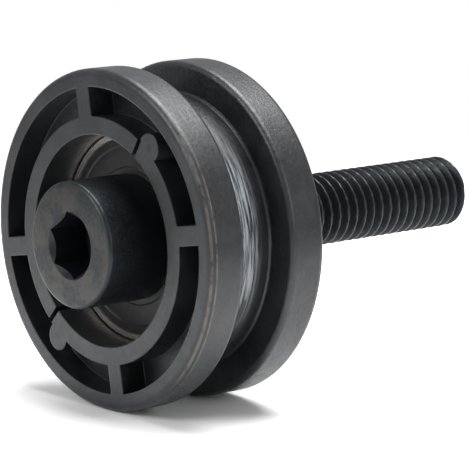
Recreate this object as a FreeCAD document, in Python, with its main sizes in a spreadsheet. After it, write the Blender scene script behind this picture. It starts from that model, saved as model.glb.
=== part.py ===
import FreeCAD, Part
import Sketcher
import os

V = FreeCAD.Vector
doc = FreeCAD.newDocument("table_roller")
sheet = doc.addObject("Spreadsheet::Sheet", "Sizes")

# Sizes in mm and degrees. The bearing's rear face is the plane y = 0,
# the screw points along +Y, and rows that start with "=" follow others.
SIZES = [
    # bearing, a common 8 x 22 x 7 size
    ("bearing_width", "7"),
    ("bearing_bore_r", "4"),
    ("bearing_outer_r", "11"),
    ("race_chamfer", "0.3"),
    ("pitch_r", "=(bearing_bore_r + bearing_outer_r) / 2"),
    ("ball_r", "1.9845"),
    ("raceway_r", "=ball_r + 0.0755"),
    ("inner_land_r", "=pitch_r - 1.2"),
    ("outer_land_r", "=pitch_r + 1.25"),
    ("rebate_r", "=bearing_outer_r - 0.85"),
    ("rebate_depth", "0.95"),
    ("seal_recess", "0.15"),
    ("seal_step", "0.12"),
    ("seal_inner_r", "=inner_land_r + 0.15"),
    ("seal_lip_r", "=seal_inner_r + 0.55"),
    ("seal_slope_in_r", "=seal_lip_r + 0.2"),
    ("seal_slope_out_r", "=rebate_r - 0.95"),
    ("seal_rim_r", "=rebate_r - 0.75"),
    ("bearing_front", "=-bearing_width"),
    ("bearing_mid", "=-bearing_width / 2"),
    ("bearing_rear", "0"),
    ("chamfer_front", "=bearing_front + race_chamfer"),
    ("chamfer_rear", "=-race_chamfer"),
    ("outer_chamfer_r", "=bearing_outer_r - race_chamfer"),
    ("bore_chamfer_r", "=bearing_bore_r + race_chamfer"),
    ("rebate_front", "=bearing_front + rebate_depth"),
    ("rebate_rear", "=-rebate_depth"),
    ("seal_front", "=bearing_front + seal_recess"),
    ("seal_front_dip", "=seal_front + seal_step"),
    ("seal_rear", "=-seal_recess"),
    ("seal_rear_dip", "=seal_rear - seal_step"),
    # pressed cage in two halves, riveted between the balls
    ("cage_sheet", "0.35"),
    ("cage_inner_r", "=pitch_r - 0.7"),
    ("cage_outer_r", "=pitch_r + 0.7"),
    ("cage_pocket_r", "=ball_r + 0.1155"),
    ("cage_cup_r", "=cage_pocket_r + cage_sheet"),
    ("rivet_r", "0.4"),
    ("rivet_head_r", "0.65"),
    ("rivet_head_height", "0.3"),
    # moulded wheel
    ("wheel_r", "17.5"),
    ("wheel_width", "15"),
    ("front_recess", "4.2"),
    ("groove_width", "6.1"),
    ("groove_r", "14.2"),
    ("mouth_r", "=bearing_outer_r - 0.15"),
    ("shoulder_r", "=bearing_outer_r - 1.2"),
    ("ring_r", "=bearing_outer_r + 1.7"),
    ("rim_r", "=wheel_r - 1.83"),
    ("pocket_depth", "3"),
    ("corner_round", "0.75"),
    ("flange_round", "0.6"),
    ("floor_round", "0.3"),
    ("rib_width", "2"),
    ("rib_angle", "-9.9"),
    ("rib_start", "=ring_r - 0.4"),
    ("rib_end", "=rim_r + 0.4"),
    ("lug_r", "1.45"),
    ("lug_centre_r", "=ring_r + 0.45"),
    ("lug_angle", "37.5"),
    ("lug_turn", "-147"),
    ("slit_width", "0.55"),
    ("slit_start", "=mouth_r - 0.6"),
    ("slit_end", "=ring_r + 0.3"),
    ("slit_angle", "30.5"),
    ("slit_turn", "-138.4"),
    ("wheel_front", "=bearing_front - front_recess"),
    ("wheel_rear", "=wheel_front + wheel_width"),
    ("groove_front", "=wheel_front + (wheel_width - groove_width) / 2"),
    ("groove_rear", "=groove_front + groove_width"),
    ("pocket_front", "=wheel_front + pocket_depth"),
    ("pocket_rear", "=wheel_rear - pocket_depth"),
    # socket head cap screw, M8
    ("axis_r", "0"),
    ("head_r", "6.5"),
    ("head_height", "8"),
    ("head_round", "0.5"),
    ("grip_r", "=bearing_bore_r - 0.05"),
    ("stud_r", "=bearing_bore_r - 0.1"),
    ("stud_length", "38"),
    ("relief_inside", "0.5"),
    ("relief_outside", "0.3"),
    ("relief_depth", "0.7"),
    ("relief_front", "=bearing_rear - relief_inside"),
    ("relief_rear", "=bearing_rear + relief_outside"),
    ("relief_r", "=stud_r - relief_depth"),
    ("tip_chamfer", "0.7"),
    ("head_front", "=bearing_front - head_height"),
    ("tip_start", "=stud_length - tip_chamfer"),
    ("tip_r", "=stud_r - tip_chamfer"),
    ("hex_across", "6"),
    ("hex_depth", "4.5"),
    ("hex_angle", "20.7"),
    ("hex_corner_r", "=hex_across / sqrt(3)"),
    ("hex_cone", "1.2"),
    ("mouth_chamfer", "0.35"),
]
for row, (alias, value) in enumerate(SIZES, start=1):
    sheet.set("A%d" % row, alias)
    sheet.set("B%d" % row, value)
    sheet.setAlias("B%d" % row, alias)
doc.recompute()


def size(alias):
    return float(sheet.get(alias))


def tie(thing, prop, formula):
    thing.setExpression(prop, formula)


def plane_of(body, role):
    return [f for f in body.Origin.OriginFeatures if f.Role == role][0]


def start_sketch(body, name, role):
    sketch = body.newObject("Sketcher::SketchObject", name)
    sketch.AttachmentSupport = [(plane_of(body, role), "")]
    sketch.MapMode = "FlatFace"
    return sketch


def pin_point(sketch, line, end, across, up):
    # Holds one end of a line at two sizes measured from the sketch origin.
    first = sketch.addConstraint(Sketcher.Constraint("DistanceX", -1, 1, line, end, size(across)))
    tie(sketch, "Constraints[%d]" % first, "Sizes." + across)
    second = sketch.addConstraint(Sketcher.Constraint("DistanceY", -1, 1, line, end, size(up)))
    tie(sketch, "Constraints[%d]" % second, "Sizes." + up)


def outline(sketch, points):
    # Closed outline whose corners are pairs of size names.
    spots = [V(size(a), size(b), 0) for a, b in points]
    count = len(spots)
    for i in range(count):
        sketch.addGeometry(Part.LineSegment(spots[i], spots[(i + 1) % count]))
    for i in range(count):
        sketch.addConstraint(Sketcher.Constraint("Coincident", i, 2, (i + 1) % count, 1))
    for i, (across, up) in enumerate(points):
        pin_point(sketch, i, 1, across, up)


def turned(label, points):
    # A body turned about the Y axis from an outline of (y, radius) names.
    body = doc.addObject("PartDesign::Body", label)
    sketch = start_sketch(body, label + "_outline", "YZ_Plane")
    outline(sketch, points)
    turn = body.newObject("PartDesign::Revolution", label + "_turn")
    turn.Profile = sketch
    turn.ReferenceAxis = (sketch, ["H_Axis"])
    turn.Angle = 360
    doc.recompute()
    return body


def raceway(body, name):
    # A round ball track cut at the middle of the bearing.
    before = body.Shape.Volume
    sketch = start_sketch(body, name, "YZ_Plane")
    sketch.addGeometry(Part.Circle(V(size("bearing_mid"), size("pitch_r"), 0), V(0, 0, 1), size("raceway_r")))
    pin_point(sketch, 0, 3, "bearing_mid", "pitch_r")
    ring = sketch.addConstraint(Sketcher.Constraint("Radius", 0, size("raceway_r")))
    tie(sketch, "Constraints[%d]" % ring, "Sizes.raceway_r")
    cut = body.newObject("PartDesign::Groove", name + "_cut")
    cut.Profile = sketch
    cut.ReferenceAxis = (sketch, ["H_Axis"])
    cut.Angle = 360
    doc.recompute()
    if not body.Shape.Volume < before - 1:
        raise RuntimeError(name + " cut nothing")


def ring_edges(shape, spots):
    # Names of the full circles about Y at the given (y, radius) spots.
    names = []
    for i, edge in enumerate(shape.Edges, start=1):
        curve = edge.Curve
        if not isinstance(curve, Part.Circle):
            continue
        for y, r in spots:
            if abs(curve.Center.y - y) < 1e-4 and abs(curve.Radius - r) < 1e-4:
                names.append("Edge%d" % i)
    if len(names) < len(spots):
        raise RuntimeError("edge not found")
    return names


def rounded(body, name, spots, radius):
    base = body.Tip
    names = ring_edges(base.Shape, [(size(a), size(b)) for a, b in spots])
    fillet = body.newObject("PartDesign::Fillet", name)
    fillet.Base = (base, names)
    fillet.Radius = size(radius)
    tie(fillet, "Radius", "Sizes." + radius)
    doc.recompute()
    return fillet


def face_sketch(body, name, level, angle):
    # Sketch across the axis at height y = level, turned clockwise from the top.
    sketch = start_sketch(body, name, "XZ_Plane")
    turn = FreeCAD.Rotation(V(0, 0, 1), -size(angle))
    sketch.AttachmentOffset = FreeCAD.Placement(V(0, 0, -size(level)), turn)
    tie(sketch, "AttachmentOffset.Base.z", "-Sizes." + level)
    return sketch


def bar(sketch, width, low, high):
    # Upright rectangle, centred on the sketch's own Y axis.
    half = size(width) / 2
    spots = [V(-half, size(low), 0), V(half, size(low), 0), V(half, size(high), 0), V(-half, size(high), 0)]
    ties = [("-Sizes.", low), ("Sizes.", low), ("Sizes.", high), ("-Sizes.", high)]
    for i in range(4):
        sketch.addGeometry(Part.LineSegment(spots[i], spots[(i + 1) % 4]))
    for i in range(4):
        sketch.addConstraint(Sketcher.Constraint("Coincident", i, 2, (i + 1) % 4, 1))
    for i, (sign, level) in enumerate(ties):
        side = sketch.addConstraint(Sketcher.Constraint("DistanceX", -1, 1, i, 1, spots[i].x))
        tie(sketch, "Constraints[%d]" % side, sign + width + " / 2")
        rise = sketch.addConstraint(Sketcher.Constraint("DistanceY", -1, 1, i, 1, spots[i].y))
        tie(sketch, "Constraints[%d]" % rise, "Sizes." + level)


def disc(sketch, centre, radius):
    sketch.addGeometry(Part.Circle(V(0, size(centre), 0), V(0, 0, 1), size(radius)))
    pin_point(sketch, 0, 3, "axis_r", centre)
    ring = sketch.addConstraint(Sketcher.Constraint("Radius", 0, size(radius)))
    tie(sketch, "Constraints[%d]" % ring, "Sizes." + radius)


def grown(body, sketch, name, length, backwards):
    before = body.Shape.Volume
    pad = body.newObject("PartDesign::Pad", name)
    pad.Profile = sketch
    pad.Length = size(length)
    tie(pad, "Length", "Sizes." + length)
    pad.Reversed = backwards
    doc.recompute()
    if not body.Shape.Volume > before + 0.5:
        raise RuntimeError(name + " added nothing")
    return pad


def repeated(body, feature, name, times):
    pattern = body.newObject("PartDesign::PolarPattern", name)
    pattern.Originals = [feature]
    axis = [f for f in body.Origin.OriginFeatures if f.Role == "Y_Axis"][0]
    pattern.Axis = (axis, [""])
    pattern.Angle = 360
    pattern.Occurrences = times
    body.Tip = pattern
    doc.recompute()


def opened(body, sketch, name, length):
    before = body.Shape.Volume
    pocket = body.newObject("PartDesign::Pocket", name)
    pocket.Profile = sketch
    pocket.Length = size(length)
    tie(pocket, "Length", "Sizes." + length)
    doc.recompute()
    if not body.Shape.Volume < before - 0.2:
        raise RuntimeError(name + " cut nothing")


def primitive(kind, name, sizes):
    thing = doc.addObject(kind, name)
    for prop, formula in sizes.items():
        tie(thing, prop, formula)
    return thing


def along_y(thing, formula, turn=0.0):
    # Lays a Z primitive along +Y, starting at the given height.
    rotation = FreeCAD.Rotation(V(0, 1, 0), turn).multiply(FreeCAD.Rotation(V(1, 0, 0), -90))
    thing.Placement = FreeCAD.Placement(V(0, 0, 0), rotation)
    tie(thing, "Placement.Base.y", formula)


def around(thing, angle):
    # Puts a primitive on the ball circle at an angle from the top.
    tie(thing, "Placement.Base.x", "Sizes.pitch_r * sin(%.9f deg)" % angle)
    tie(thing, "Placement.Base.z", "Sizes.pitch_r * cos(%.9f deg)" % angle)


def joined(name, pieces):
    fuse = doc.addObject("Part::MultiFuse", name)
    fuse.Shapes = pieces
    return fuse


def paired(kind, name, base, tool):
    thing = doc.addObject(kind, name)
    thing.Base = base
    thing.Tool = tool
    return thing


# Wheel: two flanges, a rail groove between them, hollowed faces.
wheel = turned("roller_wheel", [
    ("wheel_front", "mouth_r"),
    ("wheel_front", "ring_r"),
    ("pocket_front", "ring_r"),
    ("pocket_front", "rim_r"),
    ("wheel_front", "rim_r"),
    ("wheel_front", "wheel_r"),
    ("groove_front", "wheel_r"),
    ("groove_front", "groove_r"),
    ("groove_rear", "groove_r"),
    ("groove_rear", "wheel_r"),
    ("wheel_rear", "wheel_r"),
    ("wheel_rear", "rim_r"),
    ("pocket_rear", "rim_r"),
    ("pocket_rear", "ring_r"),
    ("wheel_rear", "ring_r"),
    ("wheel_rear", "shoulder_r"),
    ("bearing_rear", "shoulder_r"),
    ("bearing_rear", "bearing_outer_r"),
    ("bearing_front", "bearing_outer_r"),
    ("bearing_front", "mouth_r"),
])
rounded(wheel, "wheel_corners", [("wheel_front", "wheel_r"), ("wheel_rear", "wheel_r")], "corner_round")
rounded(wheel, "flange_edges", [("groove_front", "wheel_r"), ("groove_rear", "wheel_r")], "flange_round")
rounded(wheel, "groove_corners", [("groove_front", "groove_r"), ("groove_rear", "groove_r")], "floor_round")

# Four ribs cross each hollow and stand level with the face.
for side, level, backwards in (("front", "pocket_front", False), ("rear", "pocket_rear", True)):
    rib_sketch = face_sketch(wheel, side + "_rib_sketch", level, "rib_angle")
    bar(rib_sketch, "rib_width", "rib_start", "rib_end")
    rib = grown(wheel, rib_sketch, side + "_rib", "pocket_depth", backwards)
    repeated(wheel, rib, side + "_ribs", 4)

# Two round lugs beside the ring, each with a slit through the ring wall.
for name, angle in (("lug_upper", "lug_angle"), ("lug_lower", "lug_turn")):
    lug_sketch = face_sketch(wheel, name + "_sketch", "pocket_front", angle)
    disc(lug_sketch, "lug_centre_r", "lug_r")
    grown(wheel, lug_sketch, name, "pocket_depth", False)
for name, angle in (("slit_upper", "slit_angle"), ("slit_lower", "slit_turn")):
    slit_sketch = face_sketch(wheel, name + "_sketch", "wheel_front", angle)
    bar(slit_sketch, "slit_width", "slit_start", "slit_end")
    opened(wheel, slit_sketch, name, "pocket_depth")

# Bearing races with their ball tracks.
outer_race = turned("bearing_outer_race", [
    ("chamfer_front", "bearing_outer_r"),
    ("chamfer_rear", "bearing_outer_r"),
    ("bearing_rear", "outer_chamfer_r"),
    ("bearing_rear", "rebate_r"),
    ("rebate_rear", "rebate_r"),
    ("rebate_rear", "outer_land_r"),
    ("rebate_front", "outer_land_r"),
    ("rebate_front", "rebate_r"),
    ("bearing_front", "rebate_r"),
    ("bearing_front", "outer_chamfer_r"),
])
raceway(outer_race, "outer_raceway")
inner_race = turned("bearing_inner_race", [
    ("bearing_front", "bore_chamfer_r"),
    ("bearing_front", "inner_land_r"),
    ("bearing_rear", "inner_land_r"),
    ("bearing_rear", "bore_chamfer_r"),
    ("chamfer_rear", "bearing_bore_r"),
    ("chamfer_front", "bearing_bore_r"),
])
raceway(inner_race, "inner_raceway")

# Rubber seals, dished between their rim and their lip.
front_seal = turned("front_seal", [
    ("seal_front", "seal_inner_r"),
    ("seal_front", "seal_lip_r"),
    ("seal_front_dip", "seal_slope_in_r"),
    ("seal_front_dip", "seal_slope_out_r"),
    ("seal_front", "seal_rim_r"),
    ("seal_front", "rebate_r"),
    ("rebate_front", "rebate_r"),
    ("rebate_front", "seal_inner_r"),
])
rear_seal = turned("rear_seal", [
    ("seal_rear", "seal_inner_r"),
    ("seal_rear", "seal_lip_r"),
    ("seal_rear_dip", "seal_slope_in_r"),
    ("seal_rear_dip", "seal_slope_out_r"),
    ("seal_rear", "seal_rim_r"),
    ("seal_rear", "rebate_r"),
    ("rebate_rear", "rebate_r"),
    ("rebate_rear", "seal_inner_r"),
])

# Balls, and the tools that shape the cage round them.
BALLS = 7
balls = []
cups = []
pockets = []
shanks = []
heads_front = []
heads_rear = []
for k in range(BALLS):
    angle = 360.0 * k / BALLS
    between = angle + 180.0 / BALLS
    ball = primitive("Part::Sphere", "ball_%d" % (k + 1), {"Radius": "Sizes.ball_r"})
    cup = primitive("Part::Sphere", "cup_%d" % (k + 1), {"Radius": "Sizes.cage_cup_r"})
    pocket = primitive("Part::Sphere", "pocket_%d" % (k + 1), {"Radius": "Sizes.cage_pocket_r"})
    for thing in (ball, cup, pocket):
        tie(thing, "Placement.Base.y", "Sizes.bearing_mid")
        around(thing, angle)
    shank = primitive("Part::Cylinder", "shank_%d" % (k + 1), {
        "Radius": "Sizes.rivet_r",
        "Height": "2 * Sizes.cage_sheet",
    })
    along_y(shank, "Sizes.bearing_mid - Sizes.cage_sheet")
    head_sizes = {"Radius": "Sizes.rivet_head_r", "Height": "Sizes.rivet_head_height"}
    head_front = primitive("Part::Cylinder", "head_front_%d" % (k + 1), head_sizes)
    along_y(head_front, "Sizes.bearing_mid - Sizes.cage_sheet - Sizes.rivet_head_height")
    head_rear = primitive("Part::Cylinder", "head_rear_%d" % (k + 1), head_sizes)
    along_y(head_rear, "Sizes.bearing_mid + Sizes.cage_sheet")
    for thing in (shank, head_front, head_rear):
        around(thing, between)
    balls.append(ball)
    cups.append(cup)
    pockets.append(pocket)
    shanks.append(shank)
    heads_front.append(head_front)
    heads_rear.append(head_rear)

# Each cage half: flat sheet and ball cups kept inside a narrow band.
plate = primitive("Part::Cylinder", "cage_plate", {
    "Radius": "Sizes.cage_outer_r",
    "Height": "2 * Sizes.cage_sheet",
})
along_y(plate, "Sizes.bearing_mid - Sizes.cage_sheet")
cage_form = joined("cage_form", [plate] + cups)
cage_holes = joined("cage_holes", pockets + shanks)
cage_halves = []
for side, start in (("front", "Sizes.bearing_mid - Sizes.cage_cup_r"), ("rear", "Sizes.bearing_mid")):
    band_outer = primitive("Part::Cylinder", side + "_band_outer", {
        "Radius": "Sizes.cage_outer_r",
        "Height": "Sizes.cage_cup_r",
    })
    along_y(band_outer, start)
    band_inner = primitive("Part::Cylinder", side + "_band_inner", {
        "Radius": "Sizes.cage_inner_r",
        "Height": "Sizes.cage_cup_r",
    })
    along_y(band_inner, start)
    band = paired("Part::Cut", side + "_band", band_outer, band_inner)
    form = paired("Part::Common", side + "_cage_form", cage_form, band)
    cage_halves.append(paired("Part::Cut", "cage_" + side, form, cage_holes))
rivets = joined("cage_rivets", shanks + heads_front + heads_rear)

# Cap screw: round head with a hex socket, and a plain stud at the thread's crest.
# A relief as deep as the thread parts the stud from the stretch in the bearing.
screw_body = turned("screw_blank", [
    ("head_front", "axis_r"),
    ("head_front", "head_r"),
    ("bearing_front", "head_r"),
    ("bearing_front", "grip_r"),
    ("relief_front", "grip_r"),
    ("relief_front", "relief_r"),
    ("relief_rear", "relief_r"),
    ("relief_rear", "stud_r"),
    ("tip_start", "stud_r"),
    ("stud_length", "tip_r"),
    ("stud_length", "axis_r"),
])
rounded(screw_body, "head_edge", [("head_front", "head_r")], "head_round")
hexagon = primitive("Part::Prism", "hex_socket", {
    "Circumradius": "Sizes.hex_corner_r",
    "Height": "Sizes.hex_depth",
})
hexagon.Polygon = 6
along_y(hexagon, "Sizes.head_front", size("hex_angle"))
socket_point = primitive("Part::Cone", "hex_point", {
    "Radius1": "Sizes.hex_across / 2",
    "Height": "Sizes.hex_cone",
})
socket_point.Radius2 = 0
along_y(socket_point, "Sizes.head_front + Sizes.hex_depth")
socket_mouth = primitive("Part::Cone", "hex_mouth", {
    "Radius1": "Sizes.hex_corner_r + 0.05",
    "Radius2": "Sizes.hex_corner_r + 0.05 - Sizes.mouth_chamfer",
    "Height": "Sizes.mouth_chamfer",
})
along_y(socket_mouth, "Sizes.head_front")
socket = joined("socket_form", [hexagon, socket_point, socket_mouth])
screw = paired("Part::Cut", "cap_screw", screw_body, socket)
doc.recompute()

nodes = [wheel, outer_race, inner_race, front_seal, rear_seal, screw, rivets] + cage_halves + balls
for thing in doc.Objects:
    if "Invalid" in thing.State or "Error" in thing.State:
        raise RuntimeError("not built: " + thing.Name)
os.makedirs("parts", exist_ok=True)
for node in nodes:
    if node.Shape.isNull() or not node.Shape.isValid():
        raise RuntimeError("bad shape: " + node.Label)
    node.Shape.exportStep("parts/%s.step" % node.Label)
    print(node.Label, round(node.Shape.Volume, 3), len(node.Shape.Solids))
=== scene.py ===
import math

import bpy
import numpy as np
from mathutils import Matrix, Vector


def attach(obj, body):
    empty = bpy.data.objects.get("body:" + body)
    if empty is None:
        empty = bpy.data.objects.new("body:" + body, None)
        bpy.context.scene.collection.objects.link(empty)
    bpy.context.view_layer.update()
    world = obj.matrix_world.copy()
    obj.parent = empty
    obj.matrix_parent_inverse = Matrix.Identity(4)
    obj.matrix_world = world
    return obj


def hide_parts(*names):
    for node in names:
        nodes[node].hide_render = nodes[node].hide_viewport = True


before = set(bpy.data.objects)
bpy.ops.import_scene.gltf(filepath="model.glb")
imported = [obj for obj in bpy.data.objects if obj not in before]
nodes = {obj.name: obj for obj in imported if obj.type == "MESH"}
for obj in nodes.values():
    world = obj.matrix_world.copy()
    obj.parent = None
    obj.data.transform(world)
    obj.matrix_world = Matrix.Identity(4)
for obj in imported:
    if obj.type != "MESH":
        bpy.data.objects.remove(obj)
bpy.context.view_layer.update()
scene = bpy.context.scene
mm = 0.001
print("frame loaded")


# sRGB hex to linear colour
def toLinear(text):
    parts = [int(text[i:i + 2], 16) / 255 for i in (0, 2, 4)]
    return tuple(c / 12.92 if c <= 0.04045 else ((c + 0.055) / 1.055) ** 2.4 for c in parts) + (1.0,)


def startMaterial(name):
    material = bpy.data.materials.new(name)
    material.use_nodes = True
    return material, material.node_tree, material.node_tree.nodes["Principled BSDF"]


# adds one node, with each input either linked or set, and gives one of its outputs
def add(tree, kind, output, inputs=None, **settings):
    node = tree.nodes.new(kind)
    for key, value in settings.items():
        setattr(node, key, value)
    for key, value in (inputs or {}).items():
        if isinstance(value, bpy.types.NodeSocket):
            tree.links.new(value, node.inputs[key])
        else:
            node.inputs[key].default_value = value
    return node.outputs[output]


# settings that several nodes share
smooth = {"interpolation_type": "SMOOTHSTEP"}
times = {"operation": "MULTIPLY"}
colours = {"data_type": "RGBA"}


# the point itself, its x, y and z, and its distance from the roller's axis
def axisPlaces(tree):
    point = add(tree, "ShaderNodeTexCoord", "Object")
    across = add(tree, "ShaderNodeSeparateXYZ", 0, {0: point})
    along = across.node.outputs[1]
    rise = across.node.outputs[2]
    flat = add(tree, "ShaderNodeCombineXYZ", 0, {0: across, 2: rise})
    radius = add(tree, "ShaderNodeVectorMath", "Value", {0: flat}, operation="LENGTH")
    return point, across, along, rise, radius


# a soft line of the given half width in mm: one at its middle, nothing at its edge
def softLine(tree, value, middle, half):
    away = add(tree, "ShaderNodeMath", 0, {0: value, 1: middle * mm}, operation="SUBTRACT")
    gap = add(tree, "ShaderNodeMath", 0, {0: away}, operation="ABSOLUTE")
    return add(tree, "ShaderNodeMapRange", 0, {0: gap, 1: half * mm, 2: half * 0.4 * mm}, **smooth)


# noise with grains of the given size in mm
def grains(tree, point, size, detail, roughness=0.6):
    return add(tree, "ShaderNodeTexNoise", 0, {"Vector": point, "Scale": 1 / (size * mm), "Detail": detail,
                                               "Roughness": roughness})


# moulded black nylon: dull grey sheen, rubbed lines on the front rim and a rail-polished band in the groove,
# painted paler as a highlight
def makeNylon():
    look = {
        # rubbed: pale colour of the rail-polished groove floor, partly a painted highlight
        "black": "111417", "dusty": "1e2225", "scuff": "4d4844", "crack": "08090a", "rubbed": "8a8f92",
        "cloud": 1 / 0.26, "grain": 1 / 2.2, "breaks": 1 / 0.7, "streaks": 1 / 0.9,
        "rimStart": 16.9, "rimFull": 17.12, "rightStart": 9.0, "rightFull": 13.5,
        "front": -11.2, "wideLine": 0.28, "thinLine": 0.8, "crackLine": 0.54,
        "wideHalf": 0.16, "thinHalf": 0.13, "crackHalf": 0.08,
        # the rise and reach keep the painted highlight to the middle heights of the groove floor
        "trackMiddle": -4.2, "trackHalf": 2.6, "highlightRise": 1.5, "highlightReach": 11.0,
        "floorEdge": 14.6, "floorFull": 14.3, "streakStretch": (0.25, 4.0, 0.25),
        "gates": ((8.005, 10.433), (-7.162, -11.028)), "gateEdge": 0.55, "gateFull": 0.3,
        "edgeRound": 0.2, "grainDepth": 0.06,
    }
    material, tree, shader = startMaterial("black nylon, moulded")
    point, across, along, rise, radius = axisPlaces(tree)
    cloud = grains(tree, point, look["cloud"], 3.0)
    grain = grains(tree, point, look["grain"], 4.0)
    dusty = add(tree, "ShaderNodeMapRange", 0, {0: cloud, 1: 0.4, 2: 0.7}, **smooth)
    base = add(tree, "ShaderNodeMix", 2, {0: dusty, 6: toLinear(look["black"]), 7: toLinear(look["dusty"])},
               **colours)
    # the rail's running path: pale streaks drawn out round the groove floor; real polish wear, with its
    # paleness a painted highlight kept to the middle heights where that highlight falls
    drawn = add(tree, "ShaderNodeVectorMath", 0, {0: point, 1: look["streakStretch"]}, **times)
    streaky = grains(tree, drawn, look["streaks"], 4.0, 0.65)
    streaks = add(tree, "ShaderNodeMapRange", 0, {0: streaky, 1: 0.38, 2: 0.62}, **smooth)
    onFloor = add(tree, "ShaderNodeMapRange", 0,
                  {0: radius, 1: look["floorEdge"] * mm, 2: look["floorFull"] * mm}, **smooth)
    railWearAndHighlight = softLine(tree, along, look["trackMiddle"], look["trackHalf"])
    for part in (onFloor, streaks, softLine(tree, rise, look["highlightRise"], look["highlightReach"])):
        railWearAndHighlight = add(tree, "ShaderNodeMath", 0, {0: railWearAndHighlight, 1: part}, **times)
    # the pale colour mixed in here is a painted highlight on the polished groove floor
    base = add(tree, "ShaderNodeMix", 2, {0: railWearAndHighlight, 6: base, 7: toLinear(look["rubbed"])}, **colours)
    # a small gate mark on each lug
    for gateAcross, gateRise in look["gates"]:
        place = (gateAcross * mm, look["front"] * mm, gateRise * mm)
        away = add(tree, "ShaderNodeVectorMath", "Value", {0: point, 1: place}, operation="DISTANCE")
        mark = add(tree, "ShaderNodeMapRange", 0,
                   {0: away, 1: look["gateEdge"] * mm, 2: look["gateFull"] * mm}, **smooth)
        base = add(tree, "ShaderNodeMix", 2, {0: mark, 6: base, 7: toLinear(look["crack"])}, **colours)
    # two rubbed lines and a dark one between them, on the right of the front rim
    onRim = add(tree, "ShaderNodeMapRange", 0,
                {0: radius, 1: look["rimStart"] * mm, 2: look["rimFull"] * mm}, **smooth)
    onRight = add(tree, "ShaderNodeMapRange", 0,
                  {0: across, 1: look["rightStart"] * mm, 2: look["rightFull"] * mm}, **smooth)
    where = add(tree, "ShaderNodeMath", 0, {0: onRim, 1: onRight}, **times)
    uneven = grains(tree, point, look["breaks"], 5.0, 0.7)
    broken = add(tree, "ShaderNodeMapRange", 0, {0: uneven, 1: 0.34, 2: 0.6}, **smooth)
    wide = softLine(tree, along, look["front"] + look["wideLine"], look["wideHalf"])
    thin = softLine(tree, along, look["front"] + look["thinLine"], look["thinHalf"])
    scuff = add(tree, "ShaderNodeMath", 0, {0: wide, 1: thin}, operation="MAXIMUM")
    for part in (broken, where):
        scuff = add(tree, "ShaderNodeMath", 0, {0: scuff, 1: part}, **times)
    split = softLine(tree, along, look["front"] + look["crackLine"], look["crackHalf"])
    crack = add(tree, "ShaderNodeMath", 0, {0: split, 1: where}, **times)
    worn = add(tree, "ShaderNodeMix", 2, {0: scuff, 6: base, 7: toLinear(look["scuff"])}, **colours)
    cracked = add(tree, "ShaderNodeMix", 2, {0: crack, 6: worn, 7: toLinear(look["crack"])}, **colours)
    tree.links.new(cracked, shader.inputs["Base Color"])
    sheen = add(tree, "ShaderNodeMapRange", 0, {0: grain, 1: 0.3, 2: 0.7, 3: 0.33, 4: 0.47}, **smooth)
    tree.links.new(sheen, shader.inputs["Roughness"])
    # moulded edges catch the light over about a fifth of a millimetre
    edge = add(tree, "ShaderNodeBevel", 0, {"Radius": look["edgeRound"] * mm}, samples=6)
    bump = add(tree, "ShaderNodeBump", 0,
               {"Strength": 0.5, "Distance": look["grainDepth"] * mm, "Height": grain, "Normal": edge})
    tree.links.new(bump, shader.inputs["Normal"])
    return material


# ground bearing steel: bright, with fine turning marks round the axis
def makeSteel():
    look = {"steel": "e8e4dc", "dull": "bdb8af", "marks": 1 / 6.0}
    material, tree, shader = startMaterial("bearing steel, ground")
    point, across, along, rise, radius = axisPlaces(tree)
    section = add(tree, "ShaderNodeCombineXYZ", 0, {0: radius, 1: along})
    marks = grains(tree, section, look["marks"], 3.0)
    base = add(tree, "ShaderNodeMix", 2, {0: marks, 6: toLinear(look["steel"]), 7: toLinear(look["dull"])},
               **colours)
    tree.links.new(base, shader.inputs["Base Color"])
    shader.inputs["Metallic"].default_value = 1.0
    sheen = add(tree, "ShaderNodeMapRange", 0, {0: marks, 1: 0.3, 2: 0.7, 3: 0.24, 4: 0.36}, **smooth)
    tree.links.new(sheen, shader.inputs["Roughness"])
    return material


# moulded rubber: near black, matte, faintly dusty
def makeRubber():
    look = {"black": "0f0f10", "dust": "262524", "cloud": 1 / 0.9}
    material, tree, shader = startMaterial("black rubber, moulded")
    point = add(tree, "ShaderNodeTexCoord", "Object")
    cloud = grains(tree, point, look["cloud"], 4.0)
    dusty = add(tree, "ShaderNodeMapRange", 0, {0: cloud, 1: 0.45, 2: 0.75}, **smooth)
    base = add(tree, "ShaderNodeMix", 2, {0: dusty, 6: toLinear(look["black"]), 7: toLinear(look["dust"])},
               **colours)
    tree.links.new(base, shader.inputs["Base Color"])
    shader.inputs["Roughness"].default_value = 0.55
    return material


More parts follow.
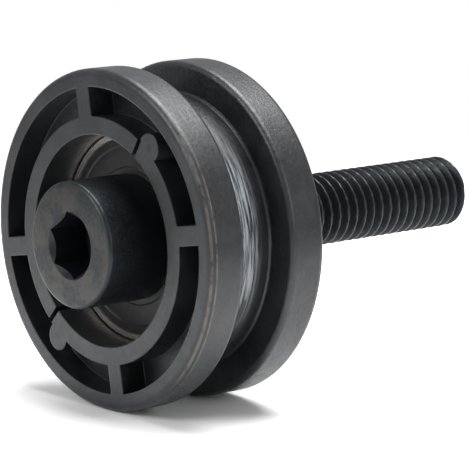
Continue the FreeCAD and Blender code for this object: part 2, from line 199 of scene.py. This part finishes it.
# black oxide on forged and rolled steel: dark, rubbed brown-grey on the head face and the thread's crests
def makeOxide():
    look = {
        "oxide": "2c3033", "worn": "41403e", "crest": "3a3a39", "cloud": 1 / 0.42, "grain": 1 / 2.6,
        "faceStart": -14.85, "faceFull": -14.98, "studStart": 0.0, "studFull": 1.0,
        "crestStart": 3.72, "crestFull": 3.86, "grainDepth": 0.05,
    }
    material, tree, shader = startMaterial("alloy steel, black oxide")
    point, across, along, rise, radius = axisPlaces(tree)
    cloud = grains(tree, point, look["cloud"], 5.0, 0.7)
    grain = grains(tree, point, look["grain"], 4.0)
    onFace = add(tree, "ShaderNodeMapRange", 0,
                 {0: along, 1: look["faceStart"] * mm, 2: look["faceFull"] * mm}, **smooth)
    patches = add(tree, "ShaderNodeMapRange", 0, {0: cloud, 1: 0.4, 2: 0.58, 3: 0.15, 4: 1.0}, **smooth)
    rubbed = add(tree, "ShaderNodeMath", 0, {0: onFace, 1: patches}, **times)
    onStud = add(tree, "ShaderNodeMapRange", 0,
                 {0: along, 1: look["studStart"] * mm, 2: look["studFull"] * mm}, **smooth)
    crest = add(tree, "ShaderNodeMapRange", 0,
                {0: radius, 1: look["crestStart"] * mm, 2: look["crestFull"] * mm}, **smooth)
    bare = add(tree, "ShaderNodeMapRange", 0, {0: cloud, 1: 0.32, 2: 0.6, 3: 0.25, 4: 1.0}, **smooth)
    for part in (onStud, bare):
        crest = add(tree, "ShaderNodeMath", 0, {0: crest, 1: part}, **times)
    base = add(tree, "ShaderNodeMix", 2, {0: rubbed, 6: toLinear(look["oxide"]), 7: toLinear(look["worn"])},
               **colours)
    crested = add(tree, "ShaderNodeMix", 2, {0: crest, 6: base, 7: toLinear(look["crest"])}, **colours)
    tree.links.new(crested, shader.inputs["Base Color"])
    shader.inputs["Metallic"].default_value = 0.85
    sheen = add(tree, "ShaderNodeMapRange", 0, {0: grain, 1: 0.3, 2: 0.7, 3: 0.32, 4: 0.5}, **smooth)
    tree.links.new(sheen, shader.inputs["Roughness"])
    bump = add(tree, "ShaderNodeBump", 0,
               {"Strength": 0.6, "Distance": look["grainDepth"] * mm, "Height": grain})
    tree.links.new(bump, shader.inputs["Normal"])
    return material


nylon = makeNylon()
steel = makeSteel()
rubber = makeRubber()
oxide = makeOxide()
finishes = {"roller_wheel": nylon, "front_seal": rubber, "rear_seal": rubber, "cap_screw": oxide}
for name, node in nodes.items():
    node.data.materials.clear()
    node.data.materials.append(finishes.get(name, steel))
print("materials made")


# a turned mesh from rows of radius and height, each given all round, closed by a point at each end:
# across is radius times the sine of the angle from the top, and up is radius times its cosine
def turnedMesh(name, radius, height, turns, startPoint, endPoint):
    rows, columns = radius.shape
    spots = np.stack([radius * np.sin(turns), height, radius * np.cos(turns)], axis=-1).reshape(-1, 3)
    spots = np.vstack([spots, [(0, startPoint, 0)], [(0, endPoint, 0)]]) * mm
    around = np.arange(columns)
    after = (around + 1) % columns
    base = np.arange(rows - 1)[:, None] * columns
    quads = np.stack([base + around, base + columns + around, base + columns + after, base + after],
                     axis=-1).reshape(-1, 4)
    first = rows * columns
    last = (rows - 1) * columns
    startFan = np.stack([np.full(columns, first), around, after], axis=-1)
    endFan = np.stack([np.full(columns, first + 1), last + after, last + around], axis=-1)
    mesh = bpy.data.meshes.new(name)
    mesh.from_pydata(spots.tolist(), [], quads.tolist() + startFan.tolist() + endFan.tolist())
    mesh.update()
    piece = bpy.data.objects.new(name, mesh)
    scene.collection.objects.link(piece)
    return piece


# cap screw with its hex socket and rolled thread, in mm and degrees
screw = {
    "headFront": -15.0, "headBack": -7.0, "headRadius": 6.5, "headRound": 0.5, "roundRows": 7,
    "hexHalf": 3.0, "hexDepth": 4.5, "hexPoint": 1.2, "hexMouth": 3.52, "hexTurn": -9.3,
    "hexPointShare": 0.995, "mouthLand": 0.05,
    "backEdge": ((6.5, -0.25), (6.45, -0.08), (6.3, 0.0), (3.98, 0.0), (3.95, 0.02)),
    "gripRadius": 3.95, "gripEnd": -0.1,
    "crestRadius": 3.9, "pitch": 1.25, "threadDepth": 0.72, "crestShare": 0.14, "flankShare": 0.6,
    "threadGrowth": 0.9, "tip": 38.0, "tipChamfer": 0.7, "columns": 96, "threadStep": 0.075, "sharpAngle": 32,
}


def makeScrew():
    hexTurn = math.radians(screw["hexTurn"])
    turns = hexTurn + np.arange(screw["columns"]) * 2 * math.pi / screw["columns"]
    ones = np.ones_like(turns)
    # hexagon: the half width over the cosine of the angle to the nearest flat's middle
    toFlat = np.mod(turns - hexTurn, math.pi / 3) - math.pi / 6
    hexagon = screw["hexHalf"] / np.cos(toFlat)
    front = screw["headFront"]
    floor = front + screw["hexDepth"]
    mouth = screw["hexMouth"]
    rows = [
        (ones * screw["hexHalf"] * screw["hexPointShare"], ones * floor),
        (hexagon, ones * floor),
        (hexagon, front + mouth - hexagon),
        (ones * mouth, ones * front),
        (ones * (mouth + screw["mouthLand"]), ones * front),
    ]
    # quarter circle round the head's front edge
    for angle in np.linspace(0, math.pi / 2, screw["roundRows"]):
        rows.append((ones * (screw["headRadius"] - screw["headRound"] * (1 - math.sin(angle))),
                     ones * (front + screw["headRound"] * (1 - math.cos(angle)))))
    for radius, behind in screw["backEdge"]:
        rows.append((ones * radius, ones * (screw["headBack"] + behind)))
    rows.append((ones * screw["gripRadius"], ones * screw["gripEnd"]))
    # thread: crest radius less a 60 degree groove that climbs one pitch a turn
    heights = np.arange(0.0, screw["tip"] + 0.001, screw["threadStep"])[:, None] + 0 * turns[None, :]
    phase = np.mod(heights / screw["pitch"] - turns[None, :] / (2 * math.pi), 1.0)
    away = np.abs(phase - 0.5) * 2
    groove = np.clip((away - screw["crestShare"]) / screw["flankShare"], 0, 1)
    grown = np.clip(heights / screw["threadGrowth"], 0, 1)
    thread = screw["crestRadius"] - screw["threadDepth"] * groove * grown
    # the tip's chamfer falls one for one from the crest
    tipLimit = screw["crestRadius"] - np.clip(heights - (screw["tip"] - screw["tipChamfer"]), 0, None)
    thread = np.minimum(thread, tipLimit)
    radius = np.vstack([np.array([r for r, h in rows]), thread])
    height = np.vstack([np.array([h for r, h in rows]), heights])
    piece = turnedMesh("threadedScrew", radius, height, turns[None, :], floor + screw["hexPoint"], screw["tip"])
    piece.data.materials.append(oxide)
    piece.data.set_sharp_from_angle(angle=math.radians(screw["sharpAngle"]))
    return piece


threadedScrew = makeScrew()
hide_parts("cap_screw")
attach(threadedScrew, "axle")
print("screw made")

# pale floor that fades into the white background, in metres
floorSizes = {"half": 0.5, "level": -0.01751, "fadeStart": 0.05, "fadeEnd": 0.2, "paper": "f7f7f7"}


def makeFloor():
    mesh = bpy.data.meshes.new("floor")
    half = floorSizes["half"]
    level = floorSizes["level"]
    mesh.from_pydata([(-half, -half, level), (half, -half, level), (half, half, level), (-half, half, level)],
                     [], [(0, 1, 2, 3)])
    piece = bpy.data.objects.new("floor", mesh)
    scene.collection.objects.link(piece)
    material, tree, shader = startMaterial("paper, matte white")
    shader.inputs["Base Color"].default_value = toLinear(floorSizes["paper"])
    shader.inputs["Roughness"].default_value = 0.9
    point = add(tree, "ShaderNodeTexCoord", "Object")
    away = add(tree, "ShaderNodeVectorMath", "Value", {0: point}, operation="LENGTH")
    fade = add(tree, "ShaderNodeMapRange", 0,
               {0: away, 1: floorSizes["fadeStart"], 2: floorSizes["fadeEnd"]}, **smooth)
    clear = add(tree, "ShaderNodeBsdfTransparent", 0)
    both = add(tree, "ShaderNodeMixShader", 0, {0: fade, 1: shader.outputs[0], 2: clear})
    tree.links.new(both, tree.nodes["Material Output"].inputs["Surface"])
    mesh.materials.append(material)
    return piece


makeFloor()
print("floor laid")

# the world: white to the camera and through clear things, a softer white as light
studio = {"light": 0.5, "background": 1.0}
world = bpy.data.worlds.new("studio")
scene.world = world
world.use_nodes = True
sky = world.node_tree
cameraRay = add(sky, "ShaderNodeLightPath", "Is Camera Ray")
clearRay = cameraRay.node.outputs["Is Transmission Ray"]
seen = add(sky, "ShaderNodeMath", 0, {0: cameraRay, 1: clearRay}, operation="MAXIMUM")
soft = add(sky, "ShaderNodeBackground", 0, {"Color": toLinear("ffffff"), "Strength": studio["light"]})
white = add(sky, "ShaderNodeBackground", 0, {"Color": toLinear("ffffff"), "Strength": studio["background"]})
shown = add(sky, "ShaderNodeMixShader", 0, {0: seen, 1: soft, 2: white})
sky.links.new(shown, sky.nodes["World Output"].inputs["Surface"])

# round area lamps, placed in metres and aimed at the roller
lamps = (
    {"name": "topLamp", "place": (0.0, 0.12, 0.5), "size": 0.45, "watts": 6.2},
    {"name": "sideLamp", "place": (0.5, 0.1, 0.2), "size": 0.3, "watts": 0.6},
    {"name": "frontLamp", "place": (-0.1, -0.5, 0.3), "size": 0.3, "watts": 1.6},
)
for lamp in lamps:
    light = bpy.data.lights.new(lamp["name"], "AREA")
    light.shape = "DISK"
    light.size = lamp["size"]
    light.energy = lamp["watts"]
    piece = bpy.data.objects.new(lamp["name"], light)
    scene.collection.objects.link(piece)
    piece.location = lamp["place"]
    piece.rotation_euler = (-Vector(lamp["place"])).to_track_quat("-Z", "Y").to_euler()
print("light set")

# camera matched to the photograph: place and lens in mm, and the way each of its axes points
shot = {
    "sensor": 36.0, "focal": 213.1, "place": (219.02, -181.30, 50.48),
    "right": (0.6517, 0.7585, 0.0), "up": (-0.1343, 0.1154, 0.9842), "back": (0.7465, -0.6414, 0.1771),
}
lens = bpy.data.cameras.new("photoCamera")
lens.sensor_width = shot["sensor"]
lens.lens = shot["focal"]
lens.clip_start = 0.01
lens.clip_end = 10.0
camera = bpy.data.objects.new("photoCamera", lens)
scene.collection.objects.link(camera)
turn = Matrix((shot["right"], shot["up"], shot["back"])).transposed().to_4x4()
camera.matrix_world = Matrix.Translation(Vector(shot["place"]) * mm) @ turn
scene.camera = camera
scene.view_settings.view_transform = "Standard"
print("camera set")
